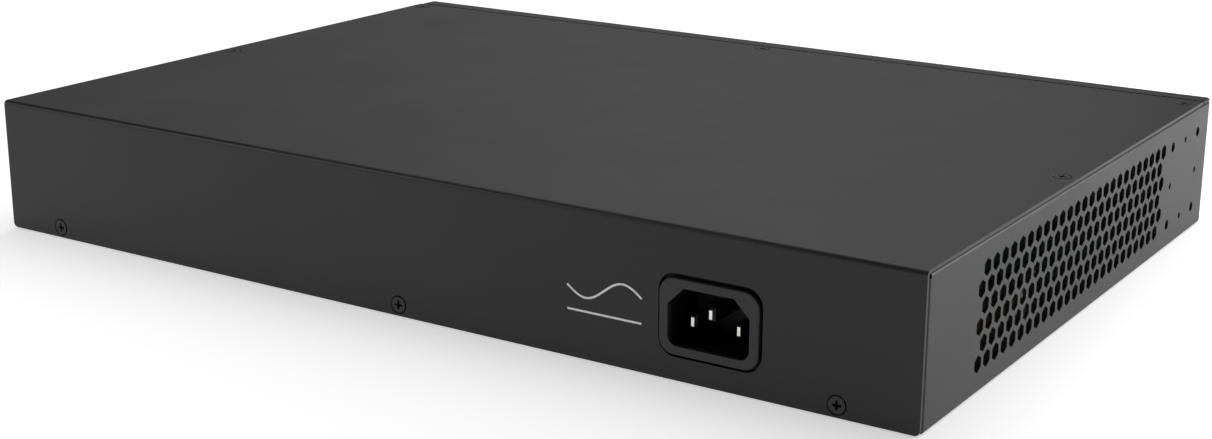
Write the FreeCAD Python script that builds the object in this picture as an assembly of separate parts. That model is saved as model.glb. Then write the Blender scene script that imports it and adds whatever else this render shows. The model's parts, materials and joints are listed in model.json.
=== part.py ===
import FreeCAD, Part
import math
import os

# Rackmount network switch, one rack unit high, in millimetres.
# Origin: centre of the underside.  +X is right seen from the front, the front faces -Y, +Z is up.

V = FreeCAD.Vector

# ---- Case ---------------------------------------------------------------------------------
WIDTH = 330.0                  # over the side walls
DEPTH = 230.0                  # front face to rear face
HEIGHT = 43.5                  # one rack unit less clearance
SHEET = 1.0                    # steel sheet of the tray and the cover
LAP = 0.25                     # paint and play between lapped sheets
BEND = 1.2                     # outer radius of the tray's upright corners
SIDE_BEND = 1.0                # outer radius of its bends along the side walls
FOLD = 1.5                     # outer radius of the folds along the bottom front and rear
COVER_BEND = 1.4               # outer radius between the cover's top and its rear wall
FLANGE = 10.0                  # width of the tray's inward flanges
REAR_LIP = 6.8                 # height of the tray's rear lip
STRIP = 7.4                    # depth of the front strip on top, up to the seam
SEAM = 1.0                     # open seam between the strip and the cover
STRIP_TUCK = 12.0              # how far the strip's joggle reaches under the cover
RELIEF_RADIUS = 1.0            # round reliefs at the upper rear corners of the side walls
RELIEF_INSET = 0.4
RELIEF_DEPTH = 1.9
COVER_LOW = 0.2                # lower edge of the cover's rear wall above the floor's underside

LEFT = -WIDTH / 2
RIGHT = WIDTH / 2
FRONT = -DEPTH / 2
REAR = DEPTH / 2
LID_UNDER = HEIGHT - SHEET                 # underside of the cover
TRAY_TOP = LID_UNDER - LAP                 # top of the tray's side flanges
TRAY_REAR = REAR - SHEET - LAP             # rear of the tray's flanges
FLOOR = SHEET

# ---- Cover and rear screws ------------------------------------------------------------------
HEAD_RADIUS = 2.4
HEAD_DEPTH = 1.4
SEAT_RADIUS = 2.9              # mouth of the countersunk seat, wider than the head
SCREW_RADIUS = 1.45
SCREW_LENGTH = 6.0
SCREW_PLAY = 0.05
RECESS_RADIUS = 1.4
RECESS_DEPTH = 1.3
PAN_RADIUS = 2.7
PAN_HEIGHT = 1.8
BOARD_SCREW = 5.0
SIDE_SCREW_X = 160.2
SIDE_SCREW_ROWS = (-101.0, 11.8)
CENTRE_SCREW_Y = -103.2
REAR_SCREW_X = 142.0
REAR_SCREW_Z = 3.6
COVER_SCREWS = [(sign * SIDE_SCREW_X, y) for sign in (-1, 1) for y in SIDE_SCREW_ROWS]
COVER_SCREWS.append((0.0, CENTRE_SCREW_Y))
REAR_SCREWS = (-REAR_SCREW_X, 0.0, REAR_SCREW_X)

# ---- Side vents and rack-ear holes ------------------------------------------------------------
VENT_FLATS = 4.4               # hexagon over its upright flats
VENT_PITCH = 6.0
VENT_RISE = VENT_PITCH * math.sqrt(3) / 2
VENT_ROWS = 6
VENT_COLUMNS = 25
VENT_TOP_Z = 34.4
VENT_REAR_Y = 76.5             # rearmost hole of the top row
EAR_PITCH = 13.0
EAR_CENTRE_Y = -90.0
EAR_CENTRE_Z = 21.1
EAR_HOLE = 1.65                # tapped M4 core radius
EAR_HELPER_HOLE = 1.05         # smaller holes half way along each side of the pattern

# ---- Power inlet, IEC 60320 C14 ------------------------------------------------------------------
INLET_X = -103.95
INLET_Z = 18.05
INLET_FLANGE_W = 30.3
INLET_FLANGE_H = 21.6
INLET_FLANGE_T = 2.2
INLET_FLANGE_R = 4.6
INLET_BODY_W = 27.0
INLET_BODY_H = 18.8
INLET_BODY_R = 1.5
INLET_DEPTH = 19.0
CATCH_REACH = 1.2              # snap catches on the inlet's sides
CATCH_LENGTH = 7.0
CATCH_H = 8.0
BRACKET_W = 42.0
BRACKET_TOP = 36.0
BRACKET_FOOT = 14.0
BRACKET_FOLD = 1.6
BRACKET_CORNER = 3.0
SOCKET_W = 24.8
SOCKET_H = 16.5
SOCKET_DEPTH = 16.0
SOCKET_CUT = 4.8               # slanted upper corners of the socket
SOCKET_R = 3.0                 # rounded lower ones
PIN_SPREAD = 7.0
PIN_RISE = 2.0
PIN_W = 2.0
PIN_H = 4.0
PIN_TAPER = 1.0
PIN_TIP_W = 0.9
PIN_TIP_H = 2.5
LINE_PIN_SINK = 4.1            # tip below the inlet's face
EARTH_PIN_SINK = 1.4
TAB_W = 0.8
TAB_H = 4.8
TAB_LENGTH = 8.0

# Hole in the cover's rear wall round the inlet, with room for hooking the cover on.
INLET_HOLE_LEFT = INLET_X - INLET_FLANGE_W / 2 - 1.15
INLET_HOLE_RIGHT = INLET_X + INLET_FLANGE_W / 2 + 0.1
INLET_HOLE_LOW = INLET_Z - INLET_FLANGE_H / 2 - 0.45
INLET_HOLE_HIGH = INLET_Z + INLET_FLANGE_H / 2 + 1.4
INLET_HOLE_R = 5.3

# ---- Boards --------------------------------------------------------------------------------------
BOARD = 1.6
STANDOFF = 6.0
BOARD_Z = FLOOR + STANDOFF                 # underside of both boards
DECK = BOARD_Z + BOARD                     # top of both boards
MAIN_LEFT = -155.5
MAIN_RIGHT = 155.5
MAIN_FRONT = -113.0
MAIN_REAR = 4.0
MAIN_HOLES = ((-148, -72), (-148, -3), (-50, -3), (60, -3), (148, -3), (148, -72), (60, -72))
POWER_LEFT = -157.0
POWER_RIGHT = -57.0
POWER_FRONT = 16.0
POWER_REAR = 82.0
POWER_INSET = 4.5
INSULATOR_T = 0.4
INSULATOR_EDGE = 2.0           # past the board's edge
INSULATOR_WALL = 10.0
POWER_HOLES = [(x, y) for x in (POWER_LEFT + POWER_INSET, POWER_RIGHT - POWER_INSET)
               for y in (POWER_FRONT + POWER_INSET, POWER_REAR - POWER_INSET)]

# ---- Network jacks: two gangs of two rows of six -----------------------------------------------------
PORT_PITCH = 13.97
PORTS_ACROSS = 6
GANG_W = 85.0
GANG_H = 25.6
GANG_DEPTH = 25.4
GANG_FRONT = FRONT + 0.1
GANG_CENTRES = (-76.0, 11.0)
SHELL = 0.3
GANG_MID = DECK + GANG_H / 2
FRONT_PLAY = 0.2               # round the jacks and cages in the front wall
PORT_W = 11.8
PORT_H = 7.0
PORT_DEPTH = 14.0
PORT_OFFSET = 2.0              # from the gang's middle line to the port's contact side
LATCH_W = 6.4
LATCH_H = 1.3
KEY_W = 3.8
KEY_H = 0.9
CONTACTS = 8
CONTACT_PITCH = 1.02
CONTACT_W = 0.45
CONTACT_T = 0.35
LIGHT_W = 2.1
LIGHT_H = 1.3
LIGHT_OFFSET = 4.9
LIGHT_DEPTH = 5.0

# ---- Small-form-factor fibre cages --------------------------------------------------------------------
CAGES = 4
CAGE_PITCH = 14.4
CAGE_W = 14.0
CAGE_H = 9.8
CAGE_DEPTH = 48.7
CAGE_SHEET = 0.3
CAGE_FIRST_X = 74.0
CAGE_CENTRES = [CAGE_FIRST_X + CAGE_PITCH * i for i in range(CAGES)]

# ---- Status lights and reset button ----------------------------------------------------------------------
PIPE_RADIUS = 1.2
PIPE_PLAY = 0.05
PIPE_BEND = 2.0
STATUS_X = -141.0
STATUS_HEIGHTS = (14.0, 20.0, 26.0, 32.0)
STATUS_STEP = 4.5
CAGE_LIGHT_Z = 24.0
CHIP_LIGHT_H = 0.9
BUTTON_X = -152.0
BUTTON_Z = 14.0
BUTTON_RADIUS = 1.5
BUTTON_PLAY = 0.08
BUTTON_GAP = 0.5               # from the collar to the front wall at rest
COLLAR_RADIUS = 2.4
COLLAR_T = 1.0
BUTTON_STEM = 4.4              # from the collar back to the switch
BUTTON_STEM_RADIUS = 1.0
BUTTON_FRONT = FRONT + 0.1
COLLAR_Y = FRONT + SHEET + BUTTON_GAP
SWITCH_BODY = 6.0
SWITCH_DEPTH = 4.5
SWITCH_BACK = 0.8              # wall behind the switch's bore
SWITCH_CLEAR = 2.2             # from the collar to the switch, more than the travel
SWITCH_Y = COLLAR_Y + COLLAR_T + SWITCH_CLEAR

# ---- Cooling fans ----------------------------------------------------------------------------------------
FAN_SIZE = 40.0
FAN_T = 20.0
FAN_CENTRES = (35.0, 80.0)
FAN_NAMES = ("front", "rear")
FAN_Z = 21.1
FAN_SCREW_PITCH = 32.0
FAN_BORE = 18.7
FAN_PLATE = 3.6
FAN_X1 = RIGHT - SHEET
FAN_X0 = FAN_X1 - FAN_T
HUB_RADIUS = 10.2
HUB_WALL = 1.3
HUB_LENGTH = 13.5
BLADES = 7
BLADE_TIP = 18.3
BLADE_T = 1.1
BLADE_ROOT = (50.0, 13.0)      # pitch in degrees and chord at the hub
BLADE_END = (32.0, 16.0)       # and at the tip
SPIDER_T = 1.9                 # hub plate and arms on the outlet side
SPIDER_GAP = 0.1               # from the spider to the wall
SPIDER_ARM = 2.4
ROTOR_X0 = FAN_X0 + 2.0
ROTOR_FACE = 1.6
SHAFT_RADIUS = 1.5
SHAFT_LENGTH = 14.6
SHAFT_PLAY = 0.03
TUBE_RADIUS = 4.0
STATOR_X0 = FAN_X0 + 6.5
STATOR_LENGTH = 6.5
POLE_RADIUS = 8.3
POLE_T = 0.9
FAN_VENT_REACH = 16.0          # radius of the vent field before each fan

# ---- Power supply parts -----------------------------------------------------------------------------------
FUSE_SPOT = (-146.0, 66.0, DECK + 4.2)     # left end of the glass
FUSE_LENGTH = 14.0
FUSE_RADIUS = 2.4
CAP_LENGTH = 5.0
LINE_CAP = (-152.0, -134.0, 50.0, 58.5)    # left, right, front and rear
LINE_CAP_H = 15.0
CHOKE_SPOT = (-114.0, 71.0, DECK + 10.5)
CHOKE_RING = 7.0
CHOKE_THICK = 2.4
CHOKE_WIRE = 0.6
CHOKE_BANK = 7                 # turns in each bank
CHOKE_STEP = 18.5              # degrees between turns
BULK_CAP = (-118.0, 38.0, 11.0, 29.0)      # x, y, radius and height
OUTPUT_CAP_X = -64.5
OUTPUT_CAP_ROWS = (31.0, 42.5, 54.0)
OUTPUT_CAP_RADIUS = 5.0
OUTPUT_CAP_H = 20.0
HEATSINK_T = 2.5
HEATSINK_TOP = DECK + 27
HEATSINK_RIBS = 6
HEATSINK_RIB_T = 1.2
HEATSINK_RIB_DEPTH = 4.0
HEATSINKS = ((-133.0, -105.0, 58.5), (-96.0, -66.0, 70.0))     # left, right and front face
LEG_PITCH = 2.54
TRANSFORMER_X = -91.0
TRANSFORMER_Y = 42.0
TRANSFORMER_LOW = DECK + 4
LIMB_W = 10.0
LIMB_T = 11.0

# ---- Headers, wires and cables ----------------------------------------------------------------------------
# x, y, width, depth and height of the header at each end of a cable
HEADERS = {
    "mains": (-139.0, 76.0, 14.0, 7.0, 8.0),
    "supply out": (-74.0, 21.0, 8.0, 6.0, 8.0),
    "supply in": (-36.0, -2.5, 8.0, 6.0, 8.0),
    "fan front": (134.0, -2.0, 6.0, 5.0, 6.0),
    "fan rear": (122.0, -2.0, 6.0, 5.0, 6.0),
}
MAINS_WIRE = 1.2               # radii
CABLE = 1.6
FAN_CABLE = 1.1
BEND_RATIO = 6.0               # middle radius of every wire bend over the wire's own radius
SLEEVE_REACH = 3.0             # how far a push-on terminal runs past its tab

# ---- Chips and board parts --------------------------------------------------------------------------------
CHIP_X = -2.0
CHIP_Y = -46.0
CHIP_SIZE = 27.0
CHIP_T = 2.2
SINK_SIZE = 42.0
SINK_H = 16.0
SINK_BASE = 3.0
SINK_FINS = 11
SINK_FIN_T = 1.3
SINK_GAPS = (-7.0, 7.0)        # cross cuts through the fins
SINK_GAP_W = 3.0
PHY_SPOTS = ((-100.0, -50.0), (-62.0, -50.0), (44.0, -50.0))
PHY_SIZE = 14.0
PHY_T = 1.2
MAGNETICS_W = 12.0
MAGNETICS_H = 6.0
SMALL_CAPS = [(-24.0 + 12.0 * i, -12.0) for i in range(5)]
SMALL_CAP_RADIUS = 4.0
SMALL_CAP_H = 9.5

# ---- Floor details ---------------------------------------------------------------------------------------
STANDOFF_FOOT = 2.7            # flush clinched end in the floor
STANDOFF_RADIUS = 2.4
EARTH_X = -72.0
EARTH_Y = 100.0
EARTH_RADIUS = 2.0
LUG_REACH = 10.0
LUG_RADIUS = 1.8
LUG_T = 0.8
FOOT_MARK_RADIUS = 7.0         # round recesses that place stick-on feet
FOOT_MARK_DEPTH = 0.3
FOOT_MARKS = [(x, y) for x in (-140.0, 140.0) for y in (-90.0, 90.0)]


# ---- Helpers -----------------------------------------------------------------------------------------
def box(x0, x1, y0, y1, z0, z1):
    return Part.makeBox(x1 - x0, y1 - y0, z1 - z0, V(x0, y0, z0))


def rod(radius, start, direction, length):
    return Part.makeCylinder(radius, length, V(*start), V(*direction))


def join(shapes):
    return shapes[0].multiFuse(shapes[1:]).removeSplitter()


def group(shapes):
    solids = []
    for shape in shapes:
        solids.extend(shape.Solids)
    return Part.makeCompound(solids)


def round_edges(shape, radius, rule):
    """Round the straight edges whose middle point and direction satisfy the rule."""
    chosen = []
    for edge in shape.Edges:
        middle = edge.valueAt((edge.FirstParameter + edge.LastParameter) / 2)
        along = edge.tangentAt(edge.FirstParameter)
        if rule(middle, along):
            chosen.append(edge)
    return shape.makeFillet(radius, chosen)


def near(a, b):
    return abs(a - b) < 0.01


def soft_box(x0, x1, y0, y1, z0, z1, radius, axis):
    """A box with the four edges along one axis rounded."""
    shape = box(x0, x1, y0, y1, z0, z1)
    return round_edges(shape, radius, lambda middle, along: near(abs(getattr(along, axis)), 1))


def prism(points, direction):
    wire = Part.makePolygon([V(*p) for p in points] + [V(*points[0])])
    return Part.Face(wire).extrude(V(*direction))


def aim(shape, position, direction):
    """Turn a shape built along +Z to a direction and move it to a position."""
    turned = shape.copy()
    turned.Placement = FreeCAD.Placement(V(*position), FreeCAD.Rotation(V(0, 0, 1), V(*direction)))
    return turned


def tube(points, radius, bend):
    """A round bar along straight runs joined by tangent arcs of one bend radius."""
    spots = [V(*p) for p in points]
    edges = []
    start = spots[0]
    for before, corner, after in zip(spots, spots[1:], spots[2:]):
        inward = before - corner
        outward = after - corner
        turn = math.pi - inward.getAngle(outward)
        reach = bend * math.tan(turn / 2)
        a = corner + inward.normalize() * reach
        b = corner + outward.normalize() * reach
        inside = (inward + outward).normalize()
        middle = corner + inside * (bend / math.cos(turn / 2) - bend)
        edges.append(Part.makeLine(start, a))
        edges.append(Part.Arc(a, middle, b).toShape())
        start = b
    edges.append(Part.makeLine(start, spots[-1]))
    heading = spots[1] - spots[0]
    profile = Part.Wire([Part.makeCircle(radius, spots[0], heading)])
    return Part.Wire(edges).makePipeShell([profile], True, False)


def hexagon(radius, height):
    corners = [(radius * math.cos(math.radians(60 * i)), radius * math.sin(math.radians(60 * i)), 0)
               for i in range(6)]
    return prism(corners, (0, 0, height))


# ---- Screws ------------------------------------------------------------------------------------------
def cross_recess(radius, depth):
    """Cross-shaped tapered recess below z = 0."""
    arm = radius * 0.28
    cone = Part.makeCone(radius * 0.35, radius, depth, V(0, 0, -depth))
    slot = box(-radius, radius, -arm, arm, -depth, 0)
    cross = slot.fuse(slot.rotated(V(0, 0, 0), V(0, 0, 1), 90))
    return cross.common(cone)


def flat_screw(length):
    """Countersunk screw with its head flush at z = 0."""
    head = Part.makeCone(SCREW_RADIUS, HEAD_RADIUS, HEAD_DEPTH, V(0, 0, -HEAD_DEPTH))
    shank = Part.makeCylinder(SCREW_RADIUS, length, V(0, 0, -length))
    return head.fuse(shank).cut(cross_recess(RECESS_RADIUS, RECESS_DEPTH)).removeSplitter()


def flat_screw_seat(length):
    """Seat of a flat-head screw: a cone a little wider than the head and a hole behind it."""
    hole_radius = SCREW_RADIUS + SCREW_PLAY
    cone = Part.makeCone(hole_radius, SEAT_RADIUS, HEAD_DEPTH, V(0, 0, -HEAD_DEPTH))
    hole = Part.makeCylinder(hole_radius, length + 1, V(0, 0, -length - 1))
    mouth = Part.makeCylinder(SEAT_RADIUS, 1)
    return join([cone, hole, mouth])


def pan_screw(length):
    """Round-topped screw seated at z = 0."""
    head = Part.makeCylinder(PAN_RADIUS, PAN_HEIGHT)
    head = round_edges(head, PAN_HEIGHT / 2, lambda middle, along: near(middle.z, PAN_HEIGHT))
    shank = Part.makeCylinder(SCREW_RADIUS, length, V(0, 0, -length))
    recess = cross_recess(RECESS_RADIUS, RECESS_DEPTH).translated(V(0, 0, PAN_HEIGHT))
    return head.fuse(shank).cut(recess).removeSplitter()


def case_screw_spots():
    """Position and outward direction of every countersunk case screw."""
    spots = [((x, y, HEIGHT), (0, 0, 1)) for x, y in COVER_SCREWS]
    spots += [((x, REAR, REAR_SCREW_Z), (0, 1, 0)) for x in REAR_SCREWS]
    return spots


def case_screw_seats():
    return [aim(flat_screw_seat(SCREW_LENGTH), spot, out) for spot, out in case_screw_spots()]


def cover_screws():
    return group([aim(flat_screw(SCREW_LENGTH), spot, out)
                  for spot, out in case_screw_spots() if out[2] == 1])


def rear_screws():
    return group([aim(flat_screw(SCREW_LENGTH), spot, out)
                  for spot, out in case_screw_spots() if out[1] == 1])


# ---- Tray --------------------------------------------------------------------------------------------
def tray_block(inset):
    """The tray's outside, or its inside where inset is the sheet: three rounded bars in common."""
    x = RIGHT - inset
    y0 = FRONT + inset
    y1 = TRAY_REAR - inset
    z0 = inset
    z1 = TRAY_TOP - inset
    side_bend = max(SIDE_BEND - inset, 0.05)
    end_fold = FOLD - inset
    corner = max(BEND - inset, 0.05)
    along_y = soft_box(-x, x, y0, y1, z0, z1, side_bend, "y")
    along_x = box(-x, x, y0, y1, z0, z1)
    along_x = round_edges(along_x, end_fold, lambda m, a: near(abs(a.x), 1) and near(m.z, z0))
    along_x = round_edges(along_x, side_bend, lambda m, a: near(m.y, y1) and near(m.z, z1))
    along_z = soft_box(-x, x, y0, y1, z0, z1, corner, "z")
    return along_y.common(along_x).common(along_z)


def tray_pan():
    top_window = box(LEFT + FLANGE, RIGHT - FLANGE, FRONT + SHEET, REAR, FLOOR + SHEET, HEIGHT)
    rear_window = box(LEFT + FLANGE, RIGHT - FLANGE, TRAY_REAR - 2 * SHEET, REAR, REAR_LIP, HEIGHT)
    return tray_block(0).cut([tray_block(SHEET), top_window, rear_window])


def front_strip():
    """Top of the front wall: folds back as the front strip, then joggles down under the cover."""
    seam_y = FRONT + STRIP
    tuck_y = seam_y + STRIP_TUCK
    low = TRAY_TOP - SHEET
    fold_low = TRAY_TOP - 4
    top = soft_box(LEFT, RIGHT, FRONT, seam_y, LID_UNDER, HEIGHT, BEND, "z")
    top = top.cut(box(LEFT - 1, RIGHT + 1, seam_y - BEND, seam_y + 1, LID_UNDER - 1, HEIGHT + 1))
    top = top.fuse(box(LEFT, RIGHT, seam_y - BEND, seam_y, LID_UNDER, HEIGHT)).removeSplitter()
    top = round_edges(top, SHEET - 0.1, lambda m, a: near(m.y, FRONT) and near(m.z, HEIGHT))
    wall = box(LEFT + FLANGE, RIGHT - FLANGE, FRONT, FRONT + SHEET, fold_low, LID_UNDER)
    inner_x = RIGHT - FLANGE - LAP
    drop = box(-inner_x, inner_x, seam_y - SHEET, seam_y, low, LID_UNDER)
    tuck = box(-inner_x, inner_x, seam_y - SHEET, tuck_y, low, TRAY_TOP)
    return join([top, wall, drop, tuck])


def vent_tool(y, z, x0, x1):
    """Hexagonal bar along X with a corner at the top."""
    radius = VENT_FLATS / math.sqrt(3)
    corners = []
    for i in range(6):
        angle = math.radians(60 * i)
        corners.append((x0, y + radius * math.sin(angle), z + radius * math.cos(angle)))
    return prism(corners, (x1 - x0, 0, 0))


def side_vents():
    """The honeycomb of intake holes in the left wall."""
    tools = []
    for row in range(VENT_ROWS):
        z = VENT_TOP_Z - VENT_RISE * row
        first = VENT_REAR_Y + VENT_PITCH / 2 * (row % 2)
        for column in range(VENT_COLUMNS):
            tools.append(vent_tool(first - VENT_PITCH * column, z, LEFT - 1, LEFT + 2 * SHEET))
    return tools


def fan_vents():
    """A round field of the same hexagons in the right wall in front of each fan."""
    tools = []
    for centre in FAN_CENTRES:
        for row in range(-3, 4):
            for column in range(-3, 4):
                y = VENT_PITCH * column + VENT_PITCH / 2 * (row % 2)
                z = VENT_RISE * row
                if math.hypot(y, z) <= FAN_VENT_REACH:
                    tools.append(vent_tool(centre + y, FAN_Z + z, RIGHT - 2 * SHEET, RIGHT + 1))
    return tools


def ear_holes():
    """Tapped square of four in each side wall, with smaller holes half way between them."""
    tools = []
    for row in (-1, 0, 1):
        for column in (-1, 0, 1):
            y = EAR_CENTRE_Y + EAR_PITCH * column
            z = EAR_CENTRE_Z + EAR_PITCH * row
            corner = row != 0 and column != 0
            middle = row == 0 and column == 0
            radius = EAR_HOLE if corner else EAR_HELPER_HOLE
            if not middle:
                tools.append(rod(radius, (LEFT - 1, y, z), (1, 0, 0), 1 + 2 * SHEET))
                tools.append(rod(radius, (RIGHT - 2 * SHEET, y, z), (1, 0, 0), 1 + 2 * SHEET))
    return tools


def front_openings():
    wall_y0 = FRONT - 1
    wall_y1 = FRONT + 2 * SHEET
    play = FRONT_PLAY
    pipe_hole = PIPE_RADIUS + PIPE_PLAY
    tools = []
    for centre in GANG_CENTRES:
        tools.append(box(centre - GANG_W / 2 - play, centre + GANG_W / 2 + play, wall_y0, wall_y1,
                         DECK - play, DECK + GANG_H + play))
    tools.append(box(CAGE_CENTRES[0] - CAGE_W / 2 - play, CAGE_CENTRES[-1] + CAGE_W / 2 + play,
                     wall_y0, wall_y1, DECK - play, DECK + CAGE_H + play))
    for height in STATUS_HEIGHTS:
        tools.append(rod(pipe_hole, (STATUS_X, wall_y0, height), (0, 1, 0), 3))
    for centre in CAGE_CENTRES:
        tools.append(rod(pipe_hole, (centre, wall_y0, CAGE_LIGHT_Z), (0, 1, 0), 3))
    tools.append(rod(BUTTON_RADIUS + BUTTON_PLAY, (BUTTON_X, wall_y0, BUTTON_Z), (0, 1, 0), 3))
    return tools


def corner_reliefs():
    """Round reliefs where the top and rear flanges of a side wall meet."""
    spot_y = TRAY_REAR - RELIEF_INSET
    spot_z = TRAY_TOP - RELIEF_INSET
    length = 1 + RELIEF_DEPTH
    return [rod(RELIEF_RADIUS, (LEFT - 1, spot_y, spot_z), (1, 0, 0), length),
            rod(RELIEF_RADIUS, (RIGHT - RELIEF_DEPTH, spot_y, spot_z), (1, 0, 0), length)]


def fan_screw_spots():
    spots = []
    half = FAN_SCREW_PITCH / 2
    for centre in FAN_CENTRES:
        for dy in (-half, half):
            for dz in (-half, half):
                spots.append((RIGHT, centre + dy, FAN_Z + dz))
    return spots


def standoff_spots():
    return list(MAIN_HOLES) + POWER_HOLES


def tray():
    shell = join([tray_pan(), front_strip()])
    tools = case_screw_seats() + side_vents() + fan_vents() + ear_holes() + front_openings()
    tools += corner_reliefs()
    tools += [aim(flat_screw_seat(SCREW_LENGTH), spot, (1, 0, 0)) for spot in fan_screw_spots()]
    tools += [rod(STANDOFF_FOOT, (x, y, -1), (0, 0, 1), 3) for x, y in standoff_spots()]
    tools += [rod(EARTH_RADIUS, (EARTH_X, EARTH_Y, -1), (0, 0, 1), 3)]
    tools += [rod(FOOT_MARK_RADIUS, (x, y, -1), (0, 0, 1), 1 + FOOT_MARK_DEPTH) for x, y in FOOT_MARKS]
    return shell.cut(tools)


# ---- Cover ------------------------------------------------------------------------------------------
def cover():
    """Top sheet and rear wall in one bent sheet."""
    front = FRONT + STRIP + SEAM
    low = COVER_LOW
    outer = box(LEFT, RIGHT, front, REAR, low, HEIGHT)
    outer = round_edges(outer, COVER_BEND, lambda m, a: near(m.y, REAR) and near(m.z, HEIGHT))
    inner = box(LEFT - 1, RIGHT + 1, front - 1, REAR - SHEET, low - 1, LID_UNDER)
    bend = COVER_BEND - SHEET
    inner = round_edges(inner, bend, lambda m, a: near(m.y, REAR - SHEET) and near(m.z, LID_UNDER))
    sheet = outer.cut(inner)
    sheet = round_edges(sheet, FOLD, lambda m, a: near(abs(a.y), 1) and near(m.z, low))
    hole = soft_box(INLET_HOLE_LEFT, INLET_HOLE_RIGHT, REAR - 3, REAR + 1,
                    INLET_HOLE_LOW, INLET_HOLE_HIGH, INLET_HOLE_R, "y")
    return sheet.cut([hole] + case_screw_seats())


# ---- Power inlet ------------------------------------------------------------------------------------
def inlet_block(width, height, y0, y1, radius):
    return soft_box(INLET_X - width / 2, INLET_X + width / 2, y0, y1,
                    INLET_Z - height / 2, INLET_Z + height / 2, radius, "y")


def inlet_bracket():
    """Upright plate behind the cover that holds the inlet, on a foot welded to the floor."""
    outer_y = REAR - INLET_FLANGE_T
    inner_y = outer_y - SHEET
    foot_y = outer_y - BRACKET_FOOT
    foot_top = FLOOR + SHEET
    x0 = INLET_X - BRACKET_W / 2
    x1 = INLET_X + BRACKET_W / 2
    top = BRACKET_TOP
    outer = box(x0, x1, foot_y, outer_y, FLOOR, top)
    outer = round_edges(outer, BRACKET_FOLD, lambda m, a: near(m.y, outer_y) and near(m.z, FLOOR))
    outer = round_edges(outer, BRACKET_CORNER, lambda m, a: near(abs(a.y), 1) and near(m.z, top))
    inner = box(x0 - 1, x1 + 1, foot_y - 1, inner_y, foot_top, top + 1)
    bend = BRACKET_FOLD - SHEET
    inner = round_edges(inner, bend, lambda m, a: near(m.y, inner_y) and near(m.z, foot_top))
    hole = inlet_block(INLET_BODY_W + 0.2, INLET_BODY_H + 0.2, foot_y, REAR, INLET_BODY_R + 0.1)
    return outer.cut([inner, hole])


def socket_cavity():
    """The C14 socket: slanted upper corners and rounded lower ones."""
    x0 = INLET_X - SOCKET_W / 2
    x1 = INLET_X + SOCKET_W / 2
    z0 = INLET_Z - SOCKET_H / 2
    z1 = INLET_Z + SOCKET_H / 2
    y0 = REAR - SOCKET_DEPTH
    outline = [(x0, y0, z0), (x1, y0, z0), (x1, y0, z1 - SOCKET_CUT), (x1 - SOCKET_CUT, y0, z1),
               (x0 + SOCKET_CUT, y0, z1), (x0, y0, z1 - SOCKET_CUT)]
    cavity = prism(outline, (0, SOCKET_DEPTH + 1, 0))
    return round_edges(cavity, SOCKET_R, lambda m, a: near(abs(a.y), 1) and near(m.z, z0))


def pin_spots():
    """x, z and tip depth of the line, neutral and earth pins."""
    return ((INLET_X - PIN_SPREAD, INLET_Z - PIN_RISE, LINE_PIN_SINK),
            (INLET_X + PIN_SPREAD, INLET_Z - PIN_RISE, LINE_PIN_SINK),
            (INLET_X, INLET_Z + PIN_RISE, EARTH_PIN_SINK))


def inlet_body():
    flange_y = REAR - INLET_FLANGE_T
    flange = inlet_block(INLET_FLANGE_W, INLET_FLANGE_H, flange_y, REAR, INLET_FLANGE_R)
    flange = round_edges(flange, 0.5, lambda m, a: near(m.y, REAR))
    body_y = REAR - INLET_DEPTH
    body = inlet_block(INLET_BODY_W, INLET_BODY_H, body_y, flange_y, INLET_BODY_R)
    catches = []
    catch_z = INLET_Z - CATCH_H / 2
    catch_y = flange_y - SHEET - 0.1
    for side in (-1, 1):
        root = INLET_X + side * INLET_BODY_W / 2
        outline = [(root, catch_y - CATCH_LENGTH, catch_z), (root, catch_y, catch_z),
                   (root + side * CATCH_REACH, catch_y, catch_z)]
        catches.append(prism(outline, (0, 0, CATCH_H)))
    slots = []
    socket_y = REAR - SOCKET_DEPTH
    for x, z, _ in pin_spots():
        slots.append(box(x - PIN_W / 2, x + PIN_W / 2, body_y - 1, socket_y + 1,
                         z - PIN_H / 2, z + PIN_H / 2))
    return join([flange, body] + catches).cut([socket_cavity()] + slots)


def upright_rectangle(x, y, z, half_width, half_height):
    corners = [V(x - half_width, y, z - half_height), V(x + half_width, y, z - half_height),
               V(x + half_width, y, z + half_height), V(x - half_width, y, z + half_height)]
    return Part.makePolygon(corners + [corners[0]])


def inlet_pin(x, z, sink):
    """Flat contact pin with a tapered tip, and a thin tab behind the inlet."""
    tip = REAR - sink
    root = tip - PIN_TAPER
    back = REAR - INLET_DEPTH
    blade = box(x - PIN_W / 2, x + PIN_W / 2, back, root, z - PIN_H / 2, z + PIN_H / 2)
    base = upright_rectangle(x, root, z, PIN_W / 2, PIN_H / 2)
    end = upright_rectangle(x, tip, z, PIN_TIP_W / 2, PIN_TIP_H / 2)
    point = Part.makeLoft([base, end], True, True)
    tab = box(x - TAB_W / 2, x + TAB_W / 2, back - TAB_LENGTH, back, z - TAB_H / 2, z + TAB_H / 2)
    return join([blade, point, tab])


def inlet_pins():
    return group([inlet_pin(*spot) for spot in pin_spots()])


def inlet_receptacles():
    """Push-on terminals on the three inlet tabs."""
    shapes = []
    back = REAR - INLET_DEPTH
    for x, z, _ in pin_spots():
        sleeve = soft_box(x - 1.6, x + 1.6, back - TAB_LENGTH - SLEEVE_REACH, back - 1.0,
                          z - 3.4, z + 3.4, 1.0, "y")
        slot = box(x - TAB_W / 2, x + TAB_W / 2, back - TAB_LENGTH, back, z - TAB_H / 2, z + TAB_H / 2)
        shapes.append(sleeve.cut(slot))
    return group(shapes)


# ---- Boards and what holds them ---------------------------------------------------------------------------
def board_plate(x0, x1, y0, y1, holes):
    plate = soft_box(x0, x1, y0, y1, BOARD_Z, DECK, 1.5, "z")
    return plate.cut([rod(SCREW_RADIUS + 0.15, (x, y, 0), (0, 0, 1), 20) for x, y in holes])


def main_board():
    return board_plate(MAIN_LEFT, MAIN_RIGHT, MAIN_FRONT, MAIN_REAR, MAIN_HOLES)


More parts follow.
